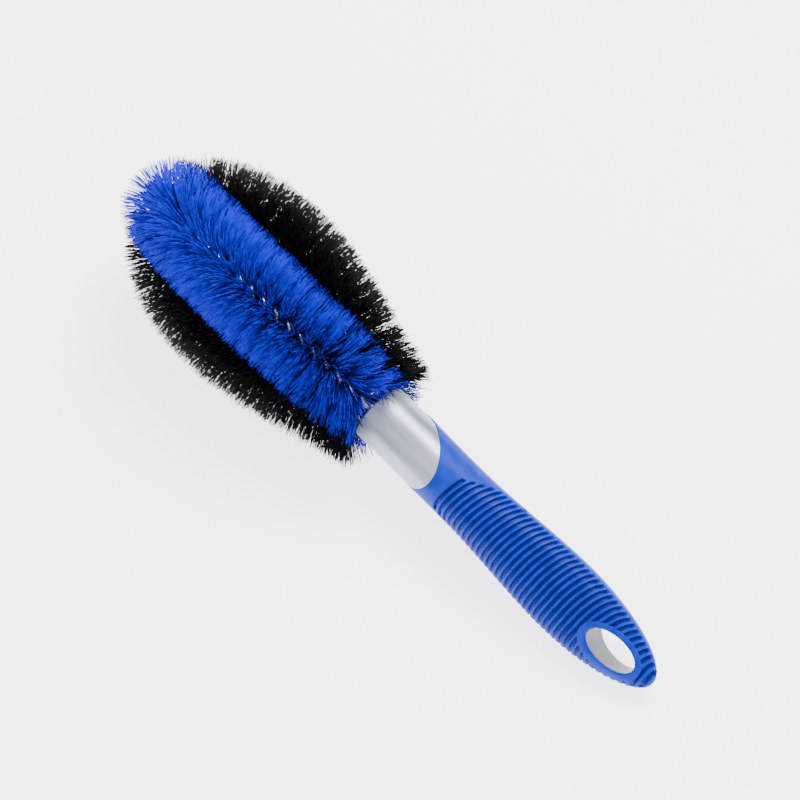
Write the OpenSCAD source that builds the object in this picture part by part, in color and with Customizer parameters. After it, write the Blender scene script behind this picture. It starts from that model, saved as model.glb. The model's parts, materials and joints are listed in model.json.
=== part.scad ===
// Wheel brush with a twisted-wire head and a two-material grip.
// Two hairpin loops of twisted wire cross at the tip of the head. Each holds its own
// colour of bristle, and their four legs are fixed in the front of the handle core.
// All sizes are in millimetres.

/* [Brush head] */
// From the barrel's mouth to the turn of the outer wire loop
outer_loop_reach = 109.5; // [90:0.5:130]
// From the barrel's mouth to the turn of the inner wire loop
inner_loop_reach = 103; // [84:0.5:122]
// From the brush's axis to a wire leg where the loops are widest
loop_half_width = 17.5; // [12:0.5:25]
// From the barrel's mouth to where the loops are widest
widest_at = 66; // [50:1:80]
// From the brush's axis to a wire leg inside the handle
leg_offset = 7.4; // [6:0.1:8]
// How far the wire legs reach into the handle
leg_depth = 24; // [15:1:30]
// Free length of the bristles, measured out from their wire
bristle_length = 19.2; // [12:0.1:26]
// How far the tufts rise and fall along the strip
tuft_wave = 1.2; // [0:0.1:3]
// From the barrel's mouth to the first bristles
bristle_start = 7; // [5:0.5:15]
// How far the bristles next to the handle lean back over it, in degrees
neck_lean = 34; // [0:1:45]

/* [Wires] */
// Diameter of one wire
wire_diameter = 1.8; // [1:0.1:2.5]
// Length in which the two wires turn once round each other
twist_pitch = 12; // [6:0.5:20]
// Rings in each turn of the twist
rings_per_turn = 7; // [6:1:16]

/* [Handle core] */
// Diameter of the bare barrel
barrel_diameter = 22.8; // [18:0.1:30]
// Distance behind the mouth, on the axis, of the slanted end of the barrel
barrel_slant_at = 20.8; // [18:0.1:24]
// How far the slanted end is turned from square across the barrel, in degrees
barrel_slant = 50; // [30:1:50]
// Diameter of the stem under the grip
stem_diameter = 19; // [15:0.5:22]
// Thickness of the tongue inside the grip
tongue_thickness = 6; // [4:0.5:9]

/* [Grip] */
// From the barrel's mouth to the end of the handle
handle_length = 139.5; // [120:0.5:170]
// Half width of the grip at its waist
waist_half_width = 11.35; // [10:0.05:14]
// Half width of the grip at its widest
belly_half_width = 14.2; // [12:0.1:18]
// From the barrel's mouth to the widest place
belly_at = 94.5; // [80:0.5:110]
// Half thickness of the grip at its widest
belly_half_thickness = 8.75; // [7:0.05:12]
// Number of grooves across the grip
grooves = 39; // [10:1:39]
// Distance between two grooves
groove_pitch = 2.48; // [2:0.02:2.48]
// Width of a groove
groove_width = 1.5; // [0.5:0.05:1.8]
// Depth of a groove
groove_depth = 0.9; // [0.3:0.05:1.2]
// From the barrel's mouth to the first groove
groove_start = 43.5; // [40:0.5:60]
// How far the middle of a groove bows towards the head
groove_arch = 2.4; // [0:0.1:5]
// How far one end of a groove lies behind its other end, halved
groove_slant = 1.3; // [0:0.1:1.5]
// How far round from the middle of the upper face the grooves reach, in degrees
groove_reach = 84; // [60:1:88]
// How far round from the middle of the lower face the grooves reach, in degrees
lower_reach = 58; // [40:1:88]

/* [Hang hole] */
// Length of the oval hole
hole_length = 20.5; // [15:0.5:30]
// Width of the oval hole
hole_width = 11.4; // [8:0.1:16]
// From the barrel's mouth to the middle of the hole
hole_at = 121.5; // [110:0.5:130]
// Width of the smooth rim round the hole
hole_rim = 2.6; // [2:0.1:5]
// How far the rim is set off towards the left side of the grip
rim_shift = 0.5; // [0:0.1:1.5]
// Thickness of the core's lining in the hole
lining = 1.6; // [1:0.1:2.5]

/* [Resting pose] */
// Tilt of the brush's axis with the head raised, in degrees
axis_tilt = 7.7; // [0:0.1:15]
// Turn of the handle about its axis, in degrees
handle_roll = -46; // [-90:1:90]
// Turn of the head relative to the handle, in degrees
head_clock = 19; // [-45:1:45]

/* [Hidden] */
$fn = 64;
// moves the lying brush so that it touches the floor and is middled over the origin
shift = [5.207, 0, 26.82];
clearance = 0.05;
twist_radius = wire_diameter / 2 + 0.05;
channel_radius = twist_radius + wire_diameter / 2 + 0.25;
bore_radius = twist_radius + wire_diameter / 2 + 0.1;
cell_gap = 0.4;
outer_sides = 20;
inner_sides = 10;
grip_sides = 24;
short_grooves = 4;
leg_split = 89;
// where the legs start to part, and how full the turn of a loop is
legs_part_from = 3;
tip_fullness = 0.87;
// length over which the lean of the bristles fades
lean_fades_over = 26;
// the grip's collar behind the barrel, where it fades, and where the swell starts
collar_swell = 0.4;
collar_fades_from = 12;
collar_fades_over = 24;
swell_from = 42;
// how much thinner the grip's end gets than its rounding alone would make it
end_droop = 1.6;
// where the grip's section starts to grow squarer, over what length and by how much
squarer_from = 50;
squarer_over = 60;
squarer_by = 0.6;
// the bow and slant of the rings come in from here and fade out at the end
arch_from = 14;
arch_fades_over = 26;
// the hidden parts of the core: its stem, and its tongue's length, taper and end
barrel_length = 50;
stem_end = 52;
stem_length = 46;
tongue_from = 46;
tongue_to = 126;
tongue_end = 131;
tongue_share = 0.86;
tongue_inset = 3.2;
tongue_end_half_width = 4;
// half heights of the hole's lining at its two ends, and how far the wedge runs past it
eye_front_height = 7.5;
eye_back_height = 4;
eye_margin = 4;
// colours of the sub-parts
silver = [0.78, 0.79, 0.81];
rubber_blue = [0.09, 0.28, 0.82];
steel = [0.70, 0.71, 0.73];
bristle_blue = [0.03, 0.16, 0.85];
bristle_black = [0.03, 0.03, 0.035];

// ---------------------------------------------------------------- helpers

function ease(t) = let(c = min(1, max(0, t))) c * c * (3 - 2 * c);

// A closed skin over equal rings of points, with flat fans over both ends.
module skin(rings) {
    n = len(rings[0]);
    m = len(rings);
    polyhedron(
        points = [for (r = rings) for (p = r) p],
        faces = concat(
            [[for (j = [0:n-1]) j]],
            [for (i = [0:m-2]) for (j = [0:n-1]) [i*n+j, (i+1)*n+j, i*n+(j+1)%n]],
            [for (i = [0:m-2]) for (j = [0:n-1])
                [i*n+(j+1)%n, (i+1)*n+j, (i+1)*n+(j+1)%n]],
            [[for (j = [n-1:-1:0]) (m-1)*n+j]]),
        convexity = 10);
}

// A closed skin with a channel through it. The outer rings have twice as many points
// as the channel's rings, and a flat band joins the two at each end.
module channelled_skin(outer, inner) {
    n = len(outer[0]);
    h = len(inner[0]);
    mo = len(outer);
    mi = len(inner);
    b = n * mo;
    polyhedron(
        points = concat([for (r = outer) for (p = r) p], [for (r = inner) for (p = r) p]),
        faces = concat(
            [for (i = [0:mo-2]) for (j = [0:n-1]) [i*n+j, (i+1)*n+j, i*n+(j+1)%n]],
            [for (i = [0:mo-2]) for (j = [0:n-1])
                [i*n+(j+1)%n, (i+1)*n+j, (i+1)*n+(j+1)%n]],
            [for (i = [0:mi-2]) for (j = [0:h-1]) [b+i*h+j, b+i*h+(j+1)%h, b+(i+1)*h+j]],
            [for (i = [0:mi-2]) for (j = [0:h-1])
                [b+i*h+(j+1)%h, b+(i+1)*h+(j+1)%h, b+(i+1)*h+j]],
            [for (j = [0:h-1]) [2*j, 2*j+1, b+j]],
            [for (j = [0:h-1]) [2*j+1, b+(j+1)%h, b+j]],
            [for (j = [0:h-1]) [2*j+1, (2*j+2)%n, b+(j+1)%h]],
            [for (j = [0:h-1]) let(o = (mo-1)*n, k = b+(mi-1)*h) [o+2*j, k+j, o+2*j+1]],
            [for (j = [0:h-1]) let(o = (mo-1)*n, k = b+(mi-1)*h) [o+2*j+1, k+j, k+(j+1)%h]],
            [for (j = [0:h-1]) let(o = (mo-1)*n, k = b+(mi-1)*h)
                [o+2*j+1, k+(j+1)%h, o+(2*j+2)%n]]),
        convexity = 10);
}

// ---------------------------------------------------------------- wire loops

// Distance of a leg from the axis between the handle and the widest place.
function leg_out(x) = leg_offset + (loop_half_width - leg_offset) * 
    ease((x - legs_part_from) / (widest_at - legs_part_from));

// One half of a hairpin as [along, out] pairs, from inside the handle to the turn.
function half_loop(reach) = concat(
    [for (x = [-leg_depth : 2 : widest_at - 1]) [x, leg_out(x)]],
    [for (a = [0 : 3 : 90]) [widest_at + (reach - widest_at) * pow(sin(a), tip_fullness),
                             loop_half_width * cos(a)]]);

function whole_loop(reach) = let(h = half_loop(reach), n = len(h))
    concat(h, [for (i = [n-2 : -1 : 0]) [h[i][0], -h[i][1]]]);

function run(p) = [for (i = 0, s = 0; i < len(p);
    s = s + (i+1 < len(p) ? norm(p[i+1] - p[i]) : 0), i = i+1) s];

outer_loop = whole_loop(outer_loop_reach);
inner_loop = whole_loop(inner_loop_reach);
outer_run = run(outer_loop);
inner_run = run(inner_loop);
outer_x = [for (i = [0:len(outer_loop)-1]) [outer_run[i], outer_loop[i][0]]];
outer_z = [for (i = [0:len(outer_loop)-1]) [outer_run[i], outer_loop[i][1]]];
inner_x = [for (i = [0:len(inner_loop)-1]) [inner_run[i], inner_loop[i][0]]];
inner_z = [for (i = [0:len(inner_loop)-1]) [inner_run[i], inner_loop[i][1]]];

// A place on the outer (o = true) or inner loop at length s, in that loop's own plane.
function spot(o, s) = [lookup(s, o ? outer_x : inner_x), 0, lookup(s, o ? outer_z : inner_z)];
function heading(o, s) = let(d = spot(o, s+0.6) - spot(o, s-0.6)) d / norm(d);
function outward(o, s) = let(t = heading(o, s)) [-t[2], 0, t[0]];
function total(o) = let(r = o ? outer_run : inner_run) r[len(r)-1];

// The length at which a leg passes a given distance from the mouth.
function at_distance(o, x) = lookup(x, [for (p = (o ? outer_x : inner_x))
    if (p[0] < total(o) / 2) [p[1], p[0]]]);

module twisted_wire(o, phase) {
    first = 0.8;
    last = total(o) - 0.8;
    steps = round((last - first) / twist_pitch * rings_per_turn);
    skin([for (i = [0:steps])
        let(s = first + (last - first) * i / steps,
            p = spot(o, s), u = outward(o, s), w = [0, 1, 0],
            q = 360 * s / twist_pitch + phase,
            c = p + twist_radius * (cos(q) * u + sin(q) * w))
        [for (j = [0:4]) c + wire_diameter / 2 * (cos(72*j) * u + sin(72*j) * w)]]);
}

// ---------------------------------------------------------------- bristles

// Every loop's places, used to divide the head between the two colours.
function own_marks(o) = [for (s = [leg_depth : 3 : total(o) - leg_depth]) [s, spot(o, s)]];
function other_marks(o) = [for (s = [leg_depth : 3 : total(!o) - leg_depth])
    let(p = spot(!o, s)) [p[0], p[2], 0]];

function bisect(p, d, q, g) = let(w = q - p, c = d * w + g)
    c > 0.01 ? max(0, (w * w - g * g) / (2 * c)) : 1000;

// Length of a bristle from p along d before it meets bristles of another strip.
function free_reach(p, d, s, own, other) = min(concat([1000],
    [for (q = other) bisect(p, d, q, cell_gap)],
    [for (m = own) if (abs(m[0] - s) > 6 && (m[1][0] > widest_at || m[1][2] * p[2] < 0))
        bisect(p, d, m[1], 0)]));

function lean(x) = neck_lean * (1 - ease((x - bristle_start) / lean_fades_over));

module strip(o, from, to) {
    own = own_marks(o);
    other = other_marks(o);
    steps = ceil((to - from) / 3);
    places = [for (i = [0:steps]) from + (to - from) * i / steps];
    few = [for (i = [0 : ceil(steps/2)]) from + (to - from) * i / ceil(steps/2)];
    channelled_skin(
        [for (i = [0:steps])
            let(s = places[i], p = spot(o, s), t = heading(o, s), u = outward(o, s),
                back = p[2] > 0 ? 1 : -1, k = lean(p[0]))
            [for (j = [0:outer_sides-1])
                let(a = 360 * j / outer_sides,
                    d = cos(k) * (cos(a) * u + sin(a) * [0, 1, 0]) - sin(k) * back * t,
                    wave = tuft_wave / 2 * cos(2*a) * (i % 2 == 0 ? 1 : -1),
                    r = min(bristle_length + wave, free_reach(p, d, s, own, other) - 0.05))
                p + max(channel_radius + 0.4, r) * d]],
        [for (s = few)
            let(p = spot(o, s), t = heading(o, s), u = outward(o, s),
                back = p[2] > 0 ? 1 : -1, k = lean(p[0]))
            [for (j = [0:inner_sides-1])
                let(a = 360 * j / inner_sides,
                    d = cos(a) * u + sin(a) * [0, 1, 0])
                p + channel_radius * (d - tan(k) * back * t)]]);
}

// ---------------------------------------------------------------- handle

function collar(h) = collar_swell * (1 - ease((h - collar_fades_from) / collar_fades_over));
function swell(h) = ease((h - swell_from) / (belly_at - swell_from));

function half_width(h) = h < belly_at
    ? waist_half_width + collar(h)
        + (belly_half_width - waist_half_width) * swell(h)
    : belly_half_width * sqrt(max(0, 1 - pow((h - belly_at) / (handle_length - belly_at), 2)));

function half_thickness(h) = h < belly_at
    ? waist_half_width + collar(h)
        + (belly_half_thickness - waist_half_width) * swell(h)
    : let(u = (h - belly_at) / (handle_length - belly_at))
        (belly_half_thickness - end_droop * u) * sqrt(max(0, 1 - pow(u, 3)));

// The grip's section is round at the waist and squarer towards the end.
function squareness(h) = 2 + squarer_by * ease((h - squarer_from) / squarer_over);
function signed_pow(v, e) = sign(v) * pow(abs(v), e);

function in_rim(h, y) = pow((h - hole_at) / (hole_length/2 + hole_rim), 2)
    + pow((y - rim_shift) / (hole_width/2 + hole_rim), 2) < 1;

// Half angle of the grooved field of one face. The first groove is half as long as most.
function field(h, reach) = let(t = (h - groove_start) / (short_grooves * groove_pitch))
    reach * (0.5 + 0.5 * min(1, max(0, t)));

function grip_point(h, a, deep) =
    let(off = ease((h - arch_from) / arch_fades_over)
            * ease((handle_length + 4 - h) / arch_fades_over),
        hh = h + off * (-groove_slant * sin(a) - groove_arch * abs(cos(a))),
        e = 2 / squareness(hh),
        y = half_width(hh) * signed_pow(sin(a), e),
        z = half_thickness(hh) * signed_pow(cos(a), e),
        side = abs(a > 180 ? 360 - a : a),
        in_face = side > 90 ? 180 - side < field(h, lower_reach) : side < field(h, groove_reach),
        cut = deep && in_face && !in_rim(hh, y) ? groove_depth : 0)
    [-hh, y - cut * sin(a), z - cut * cos(a)];

function grip_rings() = concat(
    [for (h = [4, 10, 16, 24, 32, 38, groove_start - 2.2]) [h, false]],
    [for (i = [0 : grooves-1]) for (k = [-1:1])
        [groove_start + i * groove_pitch + k * groove_width / 2, k == 0]],
    [[handle_length - 0.3, false]]);

module oval(grow) {
    polygon([for (a = [0 : 9 : 351])
        [(hole_length/2 + grow) * cos(a), (hole_width/2 + grow) * sin(a)]]);
}

// Room in the eye between the two skins of the grip, thinner towards the end.
module eye_wedge(grow) {
    h0 = hole_at - hole_length/2 - eye_margin;
    h1 = hole_at + hole_length/2 + eye_margin;
    front = eye_front_height + grow;
    back = eye_back_height + grow;
    rotate([90, 0, 0]) translate([0, 0, -20]) linear_extrude(40)
        polygon([[-h0, front], [-h1, back], [-h1, -back], [-h0, -front]]);
}

module behind_slant(grow) {
    translate([-barrel_slant_at + grow, 0, 0]) rotate([0, -barrel_slant, 0])
        translate([-200, -60, -100]) cube([200, 120, 200]);
}

function tongue_half(h) = half_width(h) * tongue_share - tongue_inset;

module tongue(grow) {
    t = tongue_thickness / 2 + grow;
    translate([0, 0, -t]) linear_extrude(2 * t) polygon(concat(
        [for (h = [tongue_from : 8 : tongue_to]) [-h, tongue_half(h) + grow]],
        [[-tongue_end, tongue_end_half_width + grow],
         [-tongue_end, -tongue_end_half_width - grow]],
        [for (h = [tongue_to : -8 : tongue_from]) [-h, -tongue_half(h) - grow]]));
}

module stem(grow) {
    translate([-stem_end - grow, 0, 0]) rotate([0, 90, 0])
        cylinder(h = stem_length + grow, d = stem_diameter + 2 * grow);
}

module hole() translate([-hole_at, 0, -12]) linear_extrude(24) oval(0);

module eye(grow) {
    intersection() {
        translate([-hole_at, 0, -12]) linear_extrude(24) oval(lining + grow);
        eye_wedge(grow);
    }
}

module core_shape() {
    difference() {
        union() {
            difference() {
                translate([-barrel_length, 0, 0]) rotate([0, 90, 0])
                    cylinder(h = barrel_length, d = barrel_diameter);
                behind_slant(0);
            }
            stem(0);
            tongue(0);
            eye(0);
        }
        hole();
    }
}

// ---------------------------------------------------------------- pose

module lie_down() {
    translate(shift) rotate([0, -axis_tilt, 0]) rotate([handle_roll, 0, 0]) children();
}

module head_frame() lie_down() rotate([head_clock, 0, 0]) children();

module black_frame() head_frame() rotate([-90, 0, 0]) children();

// ---------------------------------------------------------------- sub-parts

module handle_core() color(silver) lie_down() difference() {
    core_shape();
    for (q = [0 : 90 : 270]) rotate([head_clock + q, 0, 0])
        translate([-leg_depth - 0.5, 0, leg_offset]) rotate([0, 90, 0])
            cylinder(h = leg_depth + 2, r = bore_radius);
}

module grip_overmould() color(rubber_blue) lie_down() difference() {
    skin([for (r = grip_rings())
        [for (j = [0 : grip_sides-1]) grip_point(r[0], 360 * j / grip_sides, r[1])]]);
    difference() {
        translate([-60, -30, -30]) cube([70, 60, 60]);
        behind_slant(-clearance);
    }
    stem(clearance);
    tongue(clearance);
    eye(clearance);
    hole();
}

module blue_wire_a() color(steel) head_frame() twisted_wire(true, 0);
module blue_wire_b() color(steel) head_frame() twisted_wire(true, 180);
module black_wire_a() color(steel) black_frame() twisted_wire(false, 0);
module black_wire_b() color(steel) black_frame() twisted_wire(false, 180);

module blue_bristles_upper() color(bristle_blue) head_frame()
    strip(true, at_distance(true, bristle_start), at_distance(true, leg_split));
module blue_bristles_tip() color(bristle_blue) head_frame()
    strip(true, at_distance(true, leg_split) + 0.3, total(true) - at_distance(true, leg_split) - 0.3);
module blue_bristles_lower() color(bristle_blue) head_frame()
    strip(true, total(true) - at_distance(true, leg_split), total(true) - at_distance(true, bristle_start));

module black_bristles_left() color(bristle_black) black_frame()
    strip(false, at_distance(false, bristle_start), at_distance(false, leg_split));
module black_bristles_tip() color(bristle_black) black_frame()
    strip(false, at_distance(false, leg_split) + 0.3, total(false) - at_distance(false, leg_split) - 0.3);
module black_bristles_right() color(bristle_black) black_frame()
    strip(false, total(false) - at_distance(false, leg_split), total(false) - at_distance(false, bristle_start));

handle_core();
grip_overmould();
blue_wire_a();
blue_wire_b();
black_wire_a();
black_wire_b();
blue_bristles_upper();
blue_bristles_tip();
blue_bristles_lower();
black_bristles_left();
black_bristles_tip();
black_bristles_right();
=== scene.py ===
# A wheel brush: an egg-shaped head of blue and black twisted-wire bristle strips, on a
# silver-grey plastic handle with a ribbed blue rubber grip. Metres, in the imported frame.
import json
from math import cos, pi, radians, sin, sqrt, tan

import bmesh
import bpy
from mathutils import Matrix, Vector


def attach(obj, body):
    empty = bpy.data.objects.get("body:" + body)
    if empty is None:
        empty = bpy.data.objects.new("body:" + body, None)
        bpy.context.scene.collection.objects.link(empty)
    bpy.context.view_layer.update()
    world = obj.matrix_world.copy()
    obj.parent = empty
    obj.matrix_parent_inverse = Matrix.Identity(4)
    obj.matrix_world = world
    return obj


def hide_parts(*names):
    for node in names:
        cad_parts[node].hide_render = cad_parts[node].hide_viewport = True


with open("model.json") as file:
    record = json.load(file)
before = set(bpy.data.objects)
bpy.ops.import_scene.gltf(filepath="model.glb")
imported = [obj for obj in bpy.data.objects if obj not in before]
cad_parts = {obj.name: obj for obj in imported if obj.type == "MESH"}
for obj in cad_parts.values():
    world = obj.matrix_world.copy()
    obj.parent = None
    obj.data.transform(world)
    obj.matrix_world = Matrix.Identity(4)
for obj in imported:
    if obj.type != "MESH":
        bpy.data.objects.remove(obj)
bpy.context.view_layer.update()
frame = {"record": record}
mm = 0.001

# ------------------------------------------------------------------ how the brush lies
# The brush lies on its head and the end of its handle. Its own straight frame has +X
# from the barrel's mouth to the tip and +Z out of the grip's upper face. The hang hole
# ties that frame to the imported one, and the head is turned a little on the handle.
axis_tilt = radians(7.7)
handle_roll = radians(-46)
head_clock = radians(19)
hole_at = 121.5 * mm
hang_hole = next(m for m in frame["record"]["mounts"] if m["name"] == "hang_hole")
turn = Matrix.Rotation(-axis_tilt, 4, "Y") @ Matrix.Rotation(handle_roll, 4, "X")
mouth = Vector(hang_hole["pos_m"]) - turn @ Vector((-hole_at, 0, 0))
handle_frame = Matrix.Translation(mouth) @ turn
blue_frame = handle_frame @ Matrix.Rotation(head_clock, 4, "X")
black_frame = blue_frame @ Matrix.Rotation(-pi / 2, 4, "X")

# ------------------------------------------------------------------ camera, lights, floor
# A pale seamless floor under large soft lights, the main one from the brush's right.
camera = bpy.data.objects.new("camera", bpy.data.cameras.new("camera"))
camera.location = (-0.40606, 0.38584, 0.97131)
camera_aim = Vector((0.002202, -0.007965, 0.028846))
camera.rotation_euler = (camera_aim - camera.location).to_track_quat("-Z", "Y").to_euler()
camera.data.lens = 137.45
camera.data.sensor_width = 36
bpy.context.collection.objects.link(camera)
bpy.context.scene.camera = camera

lights = (
    ("main_softbox", (0.15, -0.6, 1.05), 0.6, 27),
    ("front_softbox", (-0.75, 0.15, 0.9), 0.8, 5),
    ("back_softbox", (0.7, 0.5, 0.8), 0.8, 5),
)
for name, place, size, watts in lights:
    lamp = bpy.data.objects.new(name, bpy.data.lights.new(name, "AREA"))
    lamp.location = place
    lamp.rotation_euler = (-Vector(place)).to_track_quat("-Z", "Y").to_euler()
    lamp.data.size = size
    lamp.data.energy = watts
    bpy.context.collection.objects.link(lamp)
world = bpy.data.worlds.new("soft_room")
world.use_nodes = True
world.node_tree.nodes["Background"].inputs["Color"].default_value = (0.95, 0.97, 1.0, 1)
world.node_tree.nodes["Background"].inputs["Strength"].default_value = 0.45
bpy.context.scene.world = world

floor_mesh = bpy.data.meshes.new("floor")
floor_half_side = 3.0
square = ((-1, -1), (1, -1), (1, 1), (-1, 1))
corners = [(x * floor_half_side, y * floor_half_side, 0) for x, y in square]
floor_mesh.from_pydata(corners, [], [(0, 1, 2, 3)])
floor = bpy.data.objects.new("floor", floor_mesh)
bpy.context.collection.objects.link(floor)
floor_paint = bpy.data.materials.new("floor_white")
floor_paint.use_nodes = True
floor_surface = floor_paint.node_tree.nodes["Principled BSDF"]
floor_surface.inputs["Base Color"].default_value = (0.88, 0.88, 0.88, 1)
floor_surface.inputs["Roughness"].default_value = 0.7
floor_surface.inputs["Emission Color"].default_value = (1, 1, 1, 1)
floor_surface.inputs["Emission Strength"].default_value = 3.0
floor_mesh.materials.append(floor_paint)

# ------------------------------------------------------------------ handle core
# One moulding of silver-grey polypropylene: the bare round barrel at the front with its
# slanted end, the stem and tongue that the grip is moulded over, and the oval lining of
# the hang hole. Four sockets in the barrel's face hold the ends of the wires.
barrel_radius = 11.4 * mm
stem_radius = 9.5 * mm
stem_length = 52 * mm
slant_at = 20.8 * mm
slant_slope = tan(radians(50))
mouth_rounding = 0.9 * mm
socket_radius = 1.95 * mm
socket_depth = 24 * mm
leg_offset = 7.4 * mm
hole_half_length = 10.25 * mm
hole_half_width = 5.7 * mm
lining_wall = 1.6 * mm
lining_lip = 0.25 * mm
lip_cover = 1.0 * mm
tongue_half = 3 * mm
handle_length = 139.5 * mm
belly_at = 94.5 * mm
waist_half_width = 11.35 * mm
collar_swell = 0.4 * mm
belly_half_width = 14.2 * mm
belly_half_thickness = 8.75 * mm
collar_fades_from = 12 * mm
collar_fades_over = 24 * mm
swell_from = 42 * mm
underside_droop = 1.6 * mm
squarer_from = 50 * mm
squarer_over = 60 * mm
tongue_share = 0.86
tongue_inset = 3.2 * mm
tongue_end = (131 * mm, 4 * mm)
lining_shade_from = -100 * mm
lining_shade_full = -108 * mm
core_hair_gap = 0.02 * mm


def ease(t):
    t = min(1, max(0, t))
    return t * t * (3 - 2 * t)


def half_size(h, belly, end_droop, end_power):
    """Half the grip's width or thickness at distance h from the mouth."""
    if h < belly_at:
        collar = collar_swell * (1 - ease((h - collar_fades_from) / collar_fades_over))
        swell = ease((h - swell_from) / (belly_at - swell_from))
        return waist_half_width + collar + (belly - waist_half_width) * swell
    u = min(1, (h - belly_at) / (handle_length - belly_at))
    return (belly - end_droop * u) * sqrt(1 - u**end_power)


def half_width(h):
    return half_size(h, belly_half_width, 0, 2)


def half_thickness(h):
    return half_size(h, belly_half_thickness, underside_droop, 3)


def squareness(h):
    """The section's power: 2 is an ellipse, and more is squarer."""
    return 2 + 0.6 * ease((h - squarer_from) / squarer_over)


def surface_height(h, y):
    """Height of the grip's upper face above the middle of the handle."""
    power = squareness(h)
    share = min(1, abs(y) / half_width(h))
    return half_thickness(h) * (1 - share**power) ** (1 / power)


def loft(rings, joined=False):
    """Points and faces of a skin over rings of equal counts, its ends closed or joined."""
    count = len(rings)
    n = len(rings[0])
    points = [Vector(p) for ring in rings for p in ring]
    faces = []
    for i in range(count if joined else count - 1):
        k = (i + 1) % count
        for j in range(n):
            faces.append((i * n + j, i * n + (j + 1) % n, k * n + (j + 1) % n, k * n + j))
    for i in () if joined else (0, count - 1):
        points.append(sum(points[i * n : i * n + n], Vector()) / n)
        for j in range(n):
            faces.append((i * n + j, i * n + (j + 1) % n, len(points) - 1))
    return points, faces


def new_object(name, shells):
    """One object from several closed shells, in the straight frame."""
    points = []
    faces = []
    for shell_points, shell_faces in shells:
        faces += [tuple(len(points) + i for i in face) for face in shell_faces]
        points += [tuple(p) for p in shell_points]
    mesh = bpy.data.meshes.new(name)
    mesh.from_pydata(points, [], faces)
    point_outwards(mesh)
    obj = bpy.data.objects.new(name, mesh)
    bpy.context.collection.objects.link(obj)
    return obj


def point_outwards(mesh):
    work = bmesh.new()
    work.from_mesh(mesh)
    bmesh.ops.recalc_face_normals(work, faces=work.faces)
    work.to_mesh(mesh)
    work.free()


def cut(obj, tool):
    """Adds a boolean that takes tool out of obj."""
    modifier = obj.modifiers.new(tool.name, "BOOLEAN")
    modifier.operation = "DIFFERENCE"
    modifier.solver = "EXACT"
    modifier.object = tool
    return modifier


def made_plain(obj, name, tools=()):
    """A plain mesh object of what obj's modifiers make. obj and its tools are removed."""
    bpy.context.view_layer.update()
    seen = obj.evaluated_get(bpy.context.evaluated_depsgraph_get())
    mesh = bpy.data.meshes.new_from_object(seen)
    mesh.name = name
    for old in (obj, *tools):
        bpy.data.objects.remove(old)
    plain = bpy.data.objects.new(name, mesh)
    bpy.context.collection.objects.link(plain)
    return plain


def lay_down(obj, place, smooth_angle):
    """Notes each point's straight place for the material, then lays the mesh down."""
    mesh = obj.data
    note = mesh.attributes.new("straight_place", "FLOAT_VECTOR", "POINT")
    note.data.foreach_set("vector", [c for v in mesh.vertices for c in v.co])
    mesh.transform(place)
    mesh.shade_smooth()
    mesh.set_sharp_from_angle(angle=smooth_angle)


full_circle = [2 * pi * j / 144 for j in range(144)]


def round_ring(radius, x, slope, angles=full_circle):
    """A ring round the axis at x, slanting with its height by slope."""
    return [(x + slope * radius * cos(a), radius * sin(a), radius * cos(a)) for a in angles]


barrel_rings = []
for step in range(9):
    bend = pi / 2 * step / 8
    radius = barrel_radius - mouth_rounding * (1 - sin(bend))
    barrel_rings.append(round_ring(radius, -mouth_rounding * (1 - cos(bend)), 0))
for share in (0.1, 0.25, 0.4, 0.55, 0.7, 0.85, 0.96, 1):
    x = -mouth_rounding * (1 - share) - slant_at * share
    barrel_rings.append(round_ring(barrel_radius, x, -slant_slope * share))
barrel_rings.append(round_ring(stem_radius, -slant_at, -slant_slope))
barrel_rings.append(round_ring(stem_radius, -stem_length, 0))
tongue_side = []
for h in range(46, 127, 8):
    tongue_side.append((h * mm, half_width(h * mm) * tongue_share - tongue_inset))
tongue_side.append(tongue_end)
tongue_outline = tongue_side + [(h, -w) for h, w in reversed(tongue_side)]
tongue_rings = [[(-h, w, z) for h, w in tongue_outline] for z in (-tongue_half, tongue_half)]
lining_rings = []
for grow, level in ((0, 1), (lining_wall, 1), (lining_wall, -1), (0, -1), (-lining_lip, 0)):
    ring = []
    for j in range(96):
        a = 2 * pi * j / 96
        h = hole_at + (hole_half_length + grow) * cos(a)
        y = (hole_half_width + grow) * sin(a)
        ring.append((-h, y, level * (surface_height(h, y) - lip_cover)))
    lining_rings.append(ring)
core = new_object("core", [loft(barrel_rings), loft(tongue_rings), loft(lining_rings, True)])
sockets = []
for y, z in ((leg_offset, 0), (-leg_offset, 0), (0, leg_offset), (0, -leg_offset)):
    turned = Matrix.Rotation(head_clock, 3, "X") @ Vector((0, y, z))
    ends = []
    for x in (-socket_depth, 2 * mm):
        ring = []
        for j in range(32):
            a = 2 * pi * j / 32
            ring.append(Vector((x, socket_radius * cos(a), socket_radius * sin(a))) + turned)
        ends.append(ring)
    sockets.append(loft(ends))
socket_tool = new_object("socket_tool", sockets)
cut(core, socket_tool)
core = made_plain(core, "handle_core_moulding", [socket_tool])
lay_down(core, handle_frame, radians(35))


def add(tree, kind, values=(), output=0, **settings):
    """Adds a node, sets or links its inputs, and gives one of its outputs."""
    node = tree.nodes.new(kind)
    for name, setting in settings.items():
        setattr(node, name, setting)
    for key, value in dict(values).items():
        if isinstance(value, bpy.types.NodeSocket):
            tree.links.new(value, node.inputs[key])
        else:
            node.inputs[key].default_value = value
    return node.outputs[output]


def new_material(name, sockets):
    """A material with one Principled surface, its uniform sockets set directly."""
    material = bpy.data.materials.new(name)
    material.use_nodes = True
    surface = material.node_tree.nodes["Principled BSDF"]
    for key, value in sockets.items():
        surface.inputs[key].default_value = value
    return material, material.node_tree, surface


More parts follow.
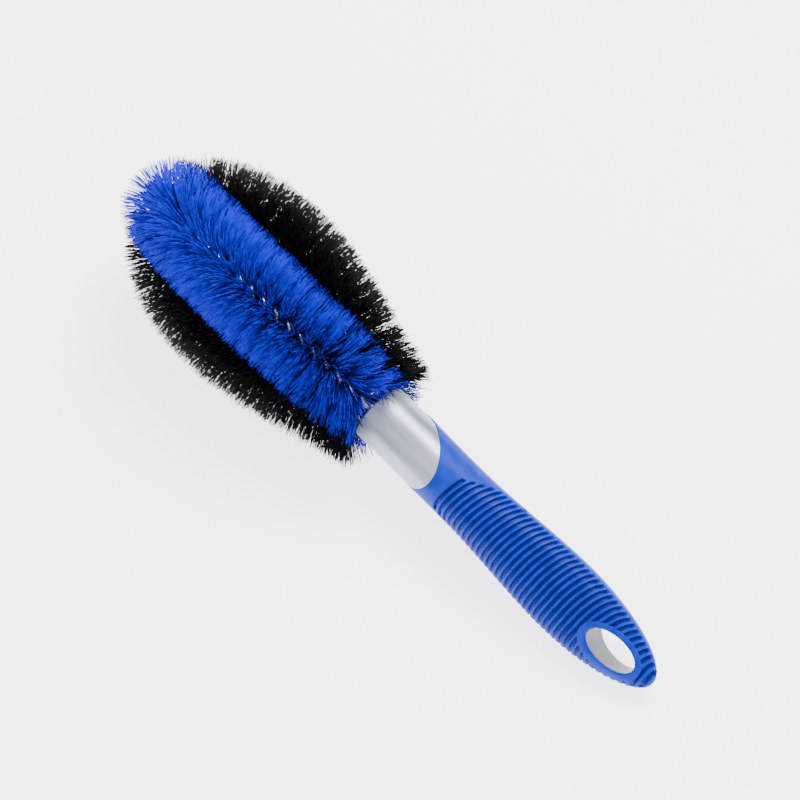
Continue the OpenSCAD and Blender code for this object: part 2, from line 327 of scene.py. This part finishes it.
def straight_noise(tree, stretch, scale, detail):
    """Noise fixed to the brush's straight frame, stretched along its length or not."""
    place = add(tree, "ShaderNodeAttribute", output="Vector", attribute_name="straight_place")
    place = add(tree, "ShaderNodeMapping", {"Vector": place, "Scale": stretch})
    values = {"Vector": place, "Scale": scale, "Detail": detail}
    return add(tree, "ShaderNodeTexNoise", values)


def ramp(tree, factor, stops):
    """Colours between stops, each a position and a colour."""
    node = tree.nodes.new("ShaderNodeValToRGB")
    while len(node.color_ramp.elements) < len(stops):
        node.color_ramp.elements.new(0.5)
    for element, (position, colour) in zip(node.color_ramp.elements, stops):
        element.position = position
        element.color = (*colour, 1)
    tree.links.new(factor, node.inputs["Fac"])
    return node.outputs["Color"]


def between(tree, value, low, high, start=0.0, end=1.0):
    """value in start..end mapped evenly to low..high, and held at low or high outside it."""
    values = {"Value": value, "From Min": start, "From Max": end, "To Min": low, "To Max": high}
    return add(tree, "ShaderNodeMapRange", values)


def bump(tree, surface, height, distance, strength):
    values = {"Height": height, "Distance": distance, "Strength": strength}
    tree.links.new(add(tree, "ShaderNodeBump", values), surface.inputs["Normal"])


silver, tree, surface = new_material("silver_plastic", {"Metallic": 0.4, "Coat Weight": 0.15})
streaks = straight_noise(tree, (25, 170, 170), 1.0, 4)
silver_tones = [(0.34, (0.25, 0.28, 0.35)), (0.5, (0.37, 0.41, 0.49)), (0.66, (0.50, 0.54, 0.62))]
silver_tone = ramp(tree, streaks, silver_tones)
along = add(tree, "ShaderNodeAttribute", output="Vector", attribute_name="straight_place")
along = add(tree, "ShaderNodeSeparateXYZ", {0: along}, "X")
# The lining inside the hang hole is darkened towards a near-black grey: painted shade on the hole's
# inner wall.
hole_shade = between(tree, along, 0.0, 1.0, lining_shade_from, lining_shade_full)
values = {0: hole_shade, 6: silver_tone, 7: (0.06, 0.065, 0.08, 1)}
silver_tone = add(tree, "ShaderNodeMix", values, output=2, data_type="RGBA")
tree.links.new(silver_tone, surface.inputs["Base Color"])
tree.links.new(between(tree, streaks, 0.30, 0.45), surface.inputs["Roughness"])
bump(tree, surface, straight_noise(tree, (1, 1, 1), 4000, 2), 0.01 * mm, 0.3)
core.data.materials.append(silver)
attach(core, "root")
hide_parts("handle_core")

# ------------------------------------------------------------------ grip
# Blue thermoplastic rubber moulded over the core: a smooth neck whose slanted front edge
# stands a little proud of the barrel, grooves pressed across both faces between smooth
# rails, a rounded lip round the hang hole, and a fine parting line down each side.
front_rounding = 0.45 * mm
row_zero = 40 * mm
groove_pitch = 2.48 * mm
row_step = groove_pitch / 12
grooves = 39
groove_start = 43.5 * mm
groove_width = 1.5 * mm
groove_depth = 1.1 * mm
groove_arch = 2.4 * mm
groove_slant = 1.3 * mm
groove_reach = radians(84)
lower_reach = radians(58)
short_grooves = 4
rim_width = 2.6 * mm
rim_shift = 0.5 * mm
parting_height = 0.1 * mm
nubs_at = (65 * mm, 137.9 * mm)
nub_height = 0.5 * mm
nub_half_length = 0.8 * mm
rounded_end = 1.5 * mm
arch_fades_over = 26 * mm
middle_half_width = 11 * mm

section_angles = [2 * pi * j / 140 for j in range(140)]
for side in (pi / 2, 3 * pi / 2):
    section_angles += [side + radians(d) for d in (-1.2, -0.7, -0.35, 0.35, 0.7, 1.2)]
section_angles.sort()


def section_point(h, a, inset=0):
    """A point of the grip's outside at distance h from the mouth."""
    power = 2 / squareness(h)
    s = sin(a)
    c = cos(a)
    y = max(0, half_width(h) - inset) * abs(s) ** power * (1 if s > 0 else -1)
    z = max(0, half_thickness(h) - inset) * abs(c) ** power * (1 if c > 0 else -1)
    return Vector((-h, y, z))


def seam_raise(h, a):
    """How far the parting line and its two flash nubs stand out."""
    if abs(abs(sin(a)) - 1) > 1e-4:
        return 0
    nub = 0
    if sin(a) < 0:
        nub = max(max(0, 1 - ((h - at) / nub_half_length) ** 2) for at in nubs_at)
    return parting_height + nub_height * nub


def slanted_ring(inset, behind):
    """A ring in the slanted front of the grip, set in and moved back from its edge."""
    ring = []
    for a in section_angles:
        h = slant_at
        for _ in range(4):
            h = slant_at + slant_slope * section_point(h, a, inset).z + behind
        ring.append(section_point(h, a, inset))
    return ring


def row_ring(row):
    """A ring along the grooves, which arch towards the head and lean to one side."""
    ring = []
    arched = ease((handle_length + 4 * mm - row) / arch_fades_over)
    for a in section_angles:
        h = min(handle_length, row - arched * (groove_slant * sin(a) + groove_arch * abs(cos(a))))
        ring.append(section_point(h, a, -seam_raise(h, a)))
    return ring


cavity = stem_radius + core_hair_gap
grip_rings = [
    round_ring(cavity, -stem_length - 0.1 * mm, 0, section_angles),
    round_ring(cavity, -slant_at - core_hair_gap, -slant_slope, section_angles),
]
row_of_ring = [0, 0]
for step in range(7):
    bend = pi / 2 * step / 6
    inset = front_rounding * (1 - sin(bend))
    behind = front_rounding * (1 - cos(bend)) + core_hair_gap
    grip_rings.append(slanted_ring(inset, behind))
    row_of_ring.append(0)
front_edge = grip_rings[-1]
first_row = row_ring(row_zero)
for step in range(1, 60):
    t = step / 60
    ring = []
    for a, start, end in zip(section_angles, front_edge, first_row):
        h = -(start[0] * (1 - t) + end[0] * t)
        ring.append(section_point(h, a, -seam_raise(h, a)))
    grip_rings.append(ring)
    row_of_ring.append(0)
row = row_zero
while row < handle_length - rounded_end:
    grip_rings.append(row_ring(row))
    row_of_ring.append(row)
    row += row_step
for step in range(1, 10):
    row = handle_length - rounded_end * (1 - step / 10) ** 2
    grip_rings.append(row_ring(row))
    row_of_ring.append(row)
grip_skin = new_object("grip_skin", [loft(grip_rings)])

# Each point knows its row, how far it lies past the end of its groove, and how far it
# is outside the smooth rim of the hole. The nodes turn those into pressed grooves.
rows = []
past_end = []
rim_gap = []
for i, point in enumerate(grip_skin.data.vertices):
    ring_number = min(i // len(section_angles), len(row_of_ring) - 1)
    row = row_of_ring[ring_number]
    a = section_angles[i % len(section_angles)]
    full_share = min(1, max(0, (row - groove_start) / (short_grooves * groove_pitch)))
    reach_here = groove_reach if cos(a) > 0 else lower_reach
    ends_at = reach_here * (0.5 + 0.5 * full_share)
    from_middle = abs(pi / 2 - abs(pi / 2 - a % pi))
    rows.append(row)
    past_end.append((from_middle - ends_at) * middle_half_width)
    across = (point.co.y - rim_shift) / (hole_half_width + rim_width)
    along = (-point.co.x - hole_at) / (hole_half_length + rim_width)
    rim_gap.append((sqrt(across**2 + along**2) - 1) * (hole_half_width + rim_width))
for name, values in (("row", rows), ("past_end", past_end), ("rim_gap", rim_gap)):
    grip_skin.data.attributes.new(name, "FLOAT", "POINT").data.foreach_set("value", values)


def new_nodes(name, inputs):
    """An empty Geometry Nodes tree with named inputs, and its group input node."""
    tree = bpy.data.node_groups.new(name, "GeometryNodeTree")
    tree.interface.new_socket("Geometry", in_out="INPUT", socket_type="NodeSocketGeometry")
    for key, value in inputs.items():
        kind = "Float"
        if isinstance(value, bpy.types.Material):
            kind = "Material"
        elif isinstance(value, int):
            kind = "Int"
        tree.interface.new_socket(key, in_out="INPUT", socket_type="NodeSocket" + kind)
    tree.interface.new_socket("Geometry", in_out="OUTPUT", socket_type="NodeSocketGeometry")
    return tree, tree.nodes.new("NodeGroupInput").outputs


def use_nodes(obj, tree, result, inputs):
    """Closes the tree with result and puts it on obj with these input values."""
    tree.links.new(result, tree.nodes.new("NodeGroupOutput").inputs["Geometry"])
    modifier = obj.modifiers.new(tree.name, "NODES")
    modifier.node_group = tree
    for item in tree.interface.items_tree:
        if item.in_out == "INPUT" and item.name in inputs:
            modifier[item.identifier] = inputs[item.name]


def maths(tree, operation, a, b=0.0, c=0.0):
    return add(tree, "ShaderNodeMath", {0: a, 1: b, 2: c}, operation=operation)


def vector_maths(tree, operation, a, b=(0, 0, 0)):
    output = "Value" if operation in ("LENGTH", "DOT_PRODUCT") else "Vector"
    return add(tree, "ShaderNodeVectorMath", {0: a, 1: b}, output, operation=operation)


def scaled(tree, vector, amount):
    return add(
        tree, "ShaderNodeVectorMath", {0: vector, "Scale": amount}, "Vector", operation="SCALE"
    )


def noted(tree, name, kind="FLOAT"):
    """A value kept on the points under this name."""
    return add(tree, "GeometryNodeInputNamedAttribute", {"Name": name}, data_type=kind)


rubber, tree, surface = new_material("blue_rubber", {"Specular IOR Level": 0.14})
blotches = straight_noise(tree, (1, 1, 1), 220, 3)
rubber_tones = [(0.35, (0.002, 0.021, 0.38)), (0.65, (0.004, 0.033, 0.48))]
tone = ramp(tree, blotches, rubber_tones)
# The groove floors are darkened by how deeply they are pressed: painted shade in the grooves.
pressed = add(tree, "ShaderNodeAttribute", output="Fac", attribute_name="pressed")
groove_shade = maths(tree, "MULTIPLY", pressed, 0.75)
values = {0: groove_shade, 6: tone, 7: (0.0, 0.004, 0.17, 1)}
tone = add(tree, "ShaderNodeMix", values, output=2, data_type="RGBA")
tree.links.new(tone, surface.inputs["Base Color"])
tree.links.new(between(tree, blotches, 0.42, 0.55), surface.inputs["Roughness"])
bump(tree, surface, straight_noise(tree, (1, 1, 1), 3200, 3), 0.02 * mm, 0.5)

groove_inputs = {
    "Pitch": groove_pitch,
    "Start": groove_start,
    "Last": float(grooves - 1),
    "Width": groove_width,
    "Wall Top": 0.54,
    "Wall Foot": 0.3,
    "Depth": groove_depth,
    "Rim Blend": 0.5 * mm,
    "Material": rubber,
}
tree, given = new_nodes("pressed_grooves", groove_inputs)
from_start = maths(tree, "SUBTRACT", noted(tree, "row"), given["Start"])
number = maths(tree, "ROUND", maths(tree, "DIVIDE", from_start, given["Pitch"]))
number = maths(tree, "MINIMUM", maths(tree, "MAXIMUM", number, 0.0), given["Last"])
across = maths(tree, "SUBTRACT", from_start, maths(tree, "MULTIPLY", number, given["Pitch"]))
beyond = maths(tree, "MAXIMUM", noted(tree, "past_end"), 0.0)
squares = maths(tree, "ADD", maths(tree, "POWER", across, 2.0), maths(tree, "POWER", beyond, 2.0))
off_line = maths(tree, "SQRT", squares)
wall_out = maths(tree, "MULTIPLY", given["Width"], given["Wall Top"])
wall_in = maths(tree, "MULTIPLY", given["Width"], given["Wall Foot"])
values = {"Value": off_line, "From Min": wall_in, "From Max": wall_out, "To Min": 1.0}
values["To Max"] = 0.0
pressed = add(tree, "ShaderNodeMapRange", values, interpolation_type="SMOOTHSTEP")
values = {"Value": noted(tree, "rim_gap"), "From Max": given["Rim Blend"]}
outside_rim = add(tree, "ShaderNodeMapRange", values, interpolation_type="SMOOTHSTEP")
pressed = maths(tree, "MULTIPLY", pressed, outside_rim)
drop = maths(tree, "MULTIPLY", pressed, given["Depth"])
offset = scaled(tree, add(tree, "GeometryNodeInputNormal"), maths(tree, "MULTIPLY", drop, -1.0))
# How deeply each point is pressed is kept for the rubber's painted groove shade.
values = {"Geometry": given["Geometry"], "Name": "pressed", "Value": pressed}
skin = add(tree, "GeometryNodeStoreNamedAttribute", values, data_type="FLOAT", domain="POINT")
skin = add(tree, "GeometryNodeSetPosition", {"Geometry": skin, "Offset": offset})
skin = add(tree, "GeometryNodeRealizeInstances", {"Geometry": skin})
skin = add(tree, "GeometryNodeSetMaterial", {"Geometry": skin, "Material": given["Material"]})
use_nodes(grip_skin, tree, skin, groove_inputs)

# The tool that cuts the hole leaves a rounded lip and a seat for the lining: for each
# ring, how far out it lies from the hole's edge and how far below the surface, in mm.
hole_rings = []
lip_profile = ((1.6, -2.0), (0.75, -0.02), (0.45, 0.06), (0.2, 0.25), (0.05, 0.55), (0, 0.85))
lip_profile += ((0, 1.05), (0.8, 1.1))
lip_turns = [(g, d, 1) for g, d in lip_profile] + [(g, d, -1) for g, d in reversed(lip_profile)]
for grow, below, level in lip_turns:
    ring = []
    for j in range(128):
        a = 2 * pi * j / 128
        h = hole_at + (hole_half_length + grow * mm) * cos(a)
        y = (hole_half_width + grow * mm) * sin(a)
        ring.append((-h, y, level * (surface_height(h, y) - below * mm)))
    hole_rings.append(ring)
hole_tool = new_object("hole_tool", [loft(hole_rings)])
cut(grip_skin, hole_tool)
grip = made_plain(grip_skin, "grip_rubber_overmould", [hole_tool])
for name in ("row", "past_end", "rim_gap"):
    grip.data.attributes.remove(grip.data.attributes[name])
lay_down(grip, handle_frame, radians(50))
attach(grip, "root")
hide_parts("grip_overmould")

# ------------------------------------------------------------------ wires
# Two pairs of galvanised steel wires, each pair twisted round the roots of its bristles
# and bent into a long loop. Both ends of each loop are pushed into the barrel.
widest_at = 66 * mm
loop_half_width = 17.5 * mm
loop_reach = {"blue": 109.5 * mm, "black": 103 * mm}
loop_place = {"blue": blue_frame, "black": black_frame}
twist_pitch = 12 * mm
twist_radius = 0.95 * mm
wire_radius = 0.9 * mm
bristle_start = 7 * mm
leg_split = 89 * mm
neck_lean = radians(34)
lean_fades_over = 26 * mm
legs_part_from = 3 * mm
tip_fullness = 0.87


def loop_points(colour):
    """The loop's centre line: out along the upper leg, round the tip, and back."""
    half = []
    steps = 180
    for i in range(steps):
        x = -socket_depth + (widest_at + socket_depth) * i / steps
        parted = ease((x - legs_part_from) / (widest_at - legs_part_from))
        out = leg_offset + (loop_half_width - leg_offset) * parted
        half.append(Vector((x, 0, out)))
    for i in range(101):
        a = pi / 2 * i / 100
        x = widest_at + (loop_reach[colour] - widest_at) * sin(a) ** tip_fullness
        half.append(Vector((x, 0, loop_half_width * cos(a))))
    return half + [Vector((p.x, 0, -p.z)) for p in reversed(half[:-1])]


def path_object(name, colour, belongs):
    """A line along part of the loop. Each point knows its heading, which way is out, its
    distance along the wire, how far its bristles lean back at the neck, and how near it
    is to the loop's far end."""
    points = loop_points(colour)
    place = loop_place[colour]
    turned = place.to_3x3()
    kept = []
    notes = {"heading": [], "outward": [], "lean": [], "along": [], "tipward": []}
    gone = 0
    for i, point in enumerate(points):
        if i:
            gone += (point - points[i - 1]).length
        if not belongs(point, i < len(points) / 2):
            continue
        heading = (points[min(i + 1, len(points) - 1)] - points[max(i - 1, 0)]).normalized()
        lean = neck_lean * (1 - ease((point.x - bristle_start) / lean_fades_over))
        kept.append(place @ point)
        notes["heading"].append(turned @ heading)
        notes["outward"].append(turned @ Vector((-heading.z, 0, heading.x)))
        notes["lean"].append(lean if i < len(points) / 2 else -lean)
        notes["along"].append(gone)
        notes["tipward"].append(ease((point.x - leg_split / 2) / (leg_split / 2)))
    mesh = bpy.data.meshes.new(name)
    mesh.from_pydata(kept, [(i, i + 1) for i in range(len(kept) - 1)], [])
    for key in ("heading", "outward"):
        flat = [c for v in notes[key] for c in v]
        mesh.attributes.new(key, "FLOAT_VECTOR", "POINT").data.foreach_set("vector", flat)
    for key in ("lean", "along", "tipward"):
        mesh.attributes.new(key, "FLOAT", "POINT").data.foreach_set("value", notes[key])
    obj = bpy.data.objects.new(name, mesh)
    bpy.context.collection.objects.link(obj)
    obj["length"] = notes["along"][-1] - notes["along"][0]
    return obj


def without_notes(tree, geometry, names):
    for name in names:
        geometry = add(tree, "GeometryNodeRemoveAttribute", {"Geometry": geometry, "Name": name})
    return geometry


steel, tree, surface = new_material("galvanised_steel", {"Metallic": 1.0})
place = add(tree, "ShaderNodeTexCoord", output="Object")
spangle = add(tree, "ShaderNodeTexNoise", {"Vector": place, "Scale": 900, "Detail": 3})
steel_tones = [(0.35, (0.40, 0.41, 0.43)), (0.65, (0.68, 0.69, 0.71))]
tree.links.new(ramp(tree, spangle, steel_tones), surface.inputs["Base Color"])
tree.links.new(between(tree, spangle, 0.22, 0.42), surface.inputs["Roughness"])

for colour in ("blue", "black"):
    for letter, phase in (("a", 0.0), ("b", pi)):
        wire_inputs = {
            "Twist Pitch": twist_pitch,
            "Twist Radius": twist_radius,
            "Wire Radius": wire_radius,
            "Phase": phase,
            "Step": 0.5 * mm,
            "Material": steel,
        }
        path = path_object("path", colour, lambda point, first_half: True)
        tree, given = new_nodes("twisted_wire", wire_inputs)
        line = add(tree, "GeometryNodeMeshToCurve", {"Mesh": given["Geometry"]})
        values = {"Curve": line, "Length": given["Step"]}
        line = add(tree, "GeometryNodeResampleCurve", values, mode="LENGTH")
        heading = noted(tree, "heading", "FLOAT_VECTOR")
        outward = noted(tree, "outward", "FLOAT_VECTOR")
        sideways = vector_maths(tree, "CROSS_PRODUCT", heading, outward)
        turns = maths(tree, "DIVIDE", noted(tree, "along"), given["Twist Pitch"])
        q = maths(tree, "ADD", maths(tree, "MULTIPLY", turns, 2 * pi), given["Phase"])
        out_part = scaled(tree, outward, maths(tree, "COSINE", q))
        side_part = scaled(tree, sideways, maths(tree, "SINE", q))
        offset = scaled(tree, vector_maths(tree, "ADD", out_part, side_part), given["Twist Radius"])
        line = add(tree, "GeometryNodeSetPosition", {"Geometry": line, "Offset": offset})
        line = without_notes(tree, line, ("heading", "outward", "lean", "along", "tipward"))
        values = {"Resolution": 10, "Radius": given["Wire Radius"]}
        ring = add(tree, "GeometryNodeCurvePrimitiveCircle", values)
        values = {"Curve": line, "Profile Curve": ring, "Fill Caps": True}
        wire = add(tree, "GeometryNodeCurveToMesh", values)
        wire = add(tree, "GeometryNodeSetShadeSmooth", {"Geometry": wire})
        wire = add(tree, "GeometryNodeRealizeInstances", {"Geometry": wire})
        values = {"Geometry": wire, "Material": given["Material"]}
        use_nodes(path, tree, add(tree, "GeometryNodeSetMaterial", values), wire_inputs)
        wire = made_plain(path, f"{colour}_twisted_wire_{letter}")
        point_outwards(wire.data)
        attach(wire, "root")
        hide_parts(f"{colour}_wire_{letter}")

# ------------------------------------------------------------------ bristles
# Fine nylon filaments caught between the twisted wires, so that their ends fan out in a
# double spiral. Those nearest the handle sweep back and part round the wires and barrel.
# Each loop is made as two leg strips and a tip strip.
ends_per_metre = 115000
filament_length = {"blue": 18.8 * mm, "black": 19.6 * mm}
filament_radius = {"blue": 0.12 * mm, "black": 0.135 * mm}
leg_parting = {"blue": 0.22, "black": 0.0}
neck_parting = {"blue": 0.6, "black": 0.0}
# Bristles nearer the loop's far end are made paler: painted light, as if more light passes through
# them there.
painted_tip_glow = {"blue": 0.75, "black": 0.0}
fan = {"blue": 0.6, "black": 0.75}
own_part = 0.3
share_power = 5.0
taper = 0.8
# Four even draws of up to bell_step either way add up to a spread of about 1.
bell_step = 0.87
# A bristle's facing is 1 straight out of the loop and -1 straight into it. Thinning starts
# at the first value of each pair and is full at the second.
faces_out = (0.55, 0.95)
faces_in = (0.1, -0.3)


def bristle_material(name, shaded_root, middle, tip, roughness, see_through):
    """Filaments run from a deep colour at the wire, painted shade deep in the tuft, to a paler end,
    painted light shining through the tips, and no two match.
    """
    sockets = {"Roughness": roughness, "Specular IOR Level": 0.06, "Transmission Weight": see_through}
    material, tree, surface = new_material(name, sockets)
    share = add(tree, "ShaderNodeAttribute", output="Fac", attribute_name="share")
    tone_and_glow = add(tree, "ShaderNodeAttribute", output="Fac", attribute_name="own_tone_and_tip_glow")
    values = {0: tone_and_glow, 1: own_part, 2: maths(tree, "POWER", share, share_power)}
    tone = add(tree, "ShaderNodeMath", values, operation="MULTIPLY_ADD")
    # Darker at the wire and paler at the end: painted shade at the roots and painted light at the
    # tips.
    stops = [(0.0, shaded_root), (0.35, middle), (1.0, tip)]
    tree.links.new(ramp(tree, tone, stops), surface.inputs["Base Color"])
    return material


nylon = {
    "blue": bristle_material(
        "blue_nylon",
        shaded_root=(0.001, 0.0, 0.38),
        middle=(0.001, 0.0, 0.7),
        tip=(0.0, 0.012, 1.0),
        roughness=0.45,
        see_through=0.3,
    ),
    "black": bristle_material(
        "black_nylon",
        shaded_root=(0.001, 0.001, 0.001),
        middle=(0.002, 0.002, 0.002),
        tip=(0.005, 0.005, 0.006),
        roughness=0.4,
        see_through=0.0,
    ),
}


def chance(tree, low, high, seed):
    return add(tree, "FunctionNodeRandomValue", {"Min": low, "Max": high, "Seed": seed}, "Value")


def bell(tree, seed, first):
    """A random number round 0 with a spread of about 1."""
    total = 0.0
    for i in range(4):
        part = chance(tree, -bell_step, bell_step, maths(tree, "ADD", seed, first + i))
        total = maths(tree, "ADD", part, total)
    return total


strips = (
    ("blue", "upper", lambda p, first: first and bristle_start <= p.x <= leg_split, 11),
    ("blue", "tip", lambda p, first: p.x >= leg_split, 22),
    ("blue", "lower", lambda p, first: not first and bristle_start <= p.x <= leg_split, 33),
    ("black", "left", lambda p, first: first and bristle_start <= p.x <= leg_split, 44),
    ("black", "tip", lambda p, first: p.x >= leg_split, 55),
    ("black", "right", lambda p, first: not first and bristle_start <= p.x <= leg_split, 66),
)
for colour, part, belongs, seed in strips:
    path = path_object("path", colour, belongs)
    strip_inputs = {
        "Ends": int(path["length"] * ends_per_metre),
        "Length": filament_length[colour],
        "Length Spread": 0.014,
        "Radius": filament_radius[colour],
        "Twist Pitch": twist_pitch,
        "Fan": fan[colour],
        "Leg Parting": leg_parting[colour],
        "Neck Parting": neck_parting[colour],
        "Clear of Barrel": 1.2,
        "Painted Tip Glow": painted_tip_glow[colour],
        "Stray": 0.07,
        "Bend": 0.06,
        "Floor": 0.15 * mm,
        "Seed": seed,
        "Material": nylon[colour],
    }
    tree, given = new_nodes("bristle_strip", strip_inputs)
    line = add(tree, "GeometryNodeMeshToCurve", {"Mesh": given["Geometry"]})
    values = {"Curve": line, "Count": given["Ends"]}
    roots = add(tree, "GeometryNodeResampleCurve", values, mode="COUNT")
    roots = add(tree, "GeometryNodeCurveToPoints", {"Curve": roots}, mode="EVALUATED")
    heading = noted(tree, "heading", "FLOAT_VECTOR")
    outward = noted(tree, "outward", "FLOAT_VECTOR")
    sideways = vector_maths(tree, "CROSS_PRODUCT", heading, outward)
    turns = maths(tree, "DIVIDE", noted(tree, "along"), given["Twist Pitch"])
    side = maths(tree, "ROUND", chance(tree, 0.0, 1.0, given["Seed"]))
    turns = maths(tree, "ADD", maths(tree, "MULTIPLY", side, 0.5), turns)
    q = maths(tree, "ADD", maths(tree, "MULTIPLY", turns, 2 * pi), pi / 2)
    fanned = maths(tree, "MULTIPLY", bell(tree, given["Seed"], 1), given["Fan"])
    q = maths(tree, "ADD", q, fanned)
    values = {"Geometry": roots, "Name": "direction", "Value": q}
    roots = add(tree, "GeometryNodeStoreNamedAttribute", values, data_type="FLOAT", domain="POINT")
    q = noted(tree, "direction")
    outermost = between(tree, maths(tree, "COSINE", q), 0.0, 1.0, *faces_out)
    leaning = maths(tree, "DIVIDE", maths(tree, "ABSOLUTE", noted(tree, "lean")), neck_lean)
    at_neck = maths(tree, "MULTIPLY", leaning, given["Neck Parting"])
    parted = maths(tree, "MULTIPLY", outermost, maths(tree, "ADD", given["Leg Parting"], at_neck))
    innermost = between(tree, maths(tree, "COSINE", q), 0.0, 1.0, *faces_in)
    innermost = maths(tree, "MULTIPLY", innermost, leaning)
    cleared = maths(tree, "MULTIPLY", innermost, given["Clear of Barrel"])
    parted = maths(tree, "MAXIMUM", parted, cleared)
    draw = chance(tree, 0.0, 1.0, maths(tree, "ADD", given["Seed"], 16))
    values = {"Geometry": roots, "Selection": maths(tree, "GREATER_THAN", parted, draw)}
    roots = add(tree, "GeometryNodeDeleteGeometry", values, domain="POINT")
    out_part = scaled(tree, outward, maths(tree, "COSINE", q))
    side_part = scaled(tree, sideways, maths(tree, "SINE", q))
    radial = vector_maths(tree, "ADD", out_part, side_part)
    stray = maths(tree, "MULTIPLY", bell(tree, given["Seed"], 5), given["Stray"])
    lean = maths(tree, "ADD", noted(tree, "lean"), stray)
    back = scaled(tree, heading, maths(tree, "MULTIPLY", maths(tree, "SINE", lean), -1.0))
    direction = vector_maths(tree, "ADD", scaled(tree, radial, maths(tree, "COSINE", lean)), back)
    values = {"Vector": direction}
    rotation = add(tree, "FunctionNodeAlignRotationToVector", values, axis="Z")
    spread = maths(tree, "MULTIPLY", bell(tree, given["Seed"], 9), given["Length Spread"])
    length = maths(tree, "MULTIPLY", maths(tree, "ADD", spread, 1.0), given["Length"])
    size = add(tree, "ShaderNodeCombineXYZ", {"X": 1.0, "Y": 1.0, "Z": length})
    values = {
        "Vertices": 3,
        "Side Segments": 2,
        "Radius Top": maths(tree, "MULTIPLY", given["Radius"], taper),
        "Radius Bottom": given["Radius"],
        "Depth": 1.0,
    }
    filament = add(tree, "GeometryNodeMeshCone", values, fill_type="NGON")
    height = add(tree, "ShaderNodeSeparateXYZ", {0: add(tree, "GeometryNodeInputPosition")}, "Z")
    values = {"Geometry": filament, "Name": "share", "Value": height}
    filament = add(tree, "GeometryNodeStoreNamedAttribute", values, data_type="FLOAT", domain="POINT")
    values = {"Points": roots, "Instance": filament, "Rotation": rotation, "Scale": size}
    tufts = add(tree, "GeometryNodeInstanceOnPoints", values)
    sway = add(
        tree,
        "FunctionNodeRandomValue",
        {"Min": (-1, -1, -1), "Max": (1, 1, 1), "Seed": maths(tree, "ADD", given["Seed"], 14)},
        "Value",
        data_type="FLOAT_VECTOR",
    )
    sway = scaled(tree, sway, maths(tree, "MULTIPLY", given["Bend"], given["Length"]))
    values = {"Geometry": tufts, "Name": "sway", "Value": sway}
    kinds = {"data_type": "FLOAT_VECTOR", "domain": "INSTANCE"}
    tufts = add(tree, "GeometryNodeStoreNamedAttribute", values, **kinds)
    # Each filament gets its own random tone, made paler towards the loop's far end as painted light.
    tone_and_glow = chance(tree, 0.0, 1.0, maths(tree, "ADD", given["Seed"], 15))
    tone_and_glow = maths(tree, "MULTIPLY_ADD", noted(tree, "tipward"), given["Painted Tip Glow"], tone_and_glow)
    values = {"Geometry": tufts, "Name": "own_tone_and_tip_glow", "Value": tone_and_glow}
    kinds = {"data_type": "FLOAT", "domain": "INSTANCE"}
    tufts = add(tree, "GeometryNodeStoreNamedAttribute", values, **kinds)
    tufts = add(tree, "GeometryNodeRealizeInstances", {"Geometry": tufts})
    curve = maths(tree, "POWER", noted(tree, "share"), 2.0)
    offset = scaled(tree, noted(tree, "sway", "FLOAT_VECTOR"), curve)
    tufts = add(tree, "GeometryNodeSetPosition", {"Geometry": tufts, "Offset": offset})
    level = add(tree, "ShaderNodeSeparateXYZ", {0: add(tree, "GeometryNodeInputPosition")}, "Z")
    lift = maths(tree, "MAXIMUM", maths(tree, "SUBTRACT", given["Floor"], level), 0.0)
    offset = add(tree, "ShaderNodeCombineXYZ", {"X": 0.0, "Y": 0.0, "Z": lift})
    tufts = add(tree, "GeometryNodeSetPosition", {"Geometry": tufts, "Offset": offset})
    noted_names = ("heading", "outward", "lean", "along", "tipward", "direction", "sway")
    tufts = without_notes(tree, tufts, noted_names)
    tufts = add(tree, "GeometryNodeSetShadeSmooth", {"Geometry": tufts})
    values = {"Geometry": tufts, "Material": given["Material"]}
    use_nodes(path, tree, add(tree, "GeometryNodeSetMaterial", values), strip_inputs)
    strip = made_plain(path, f"{colour}_bristle_strip_{part}")
    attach(strip, "root")
    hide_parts(f"{colour}_bristles_{part}")
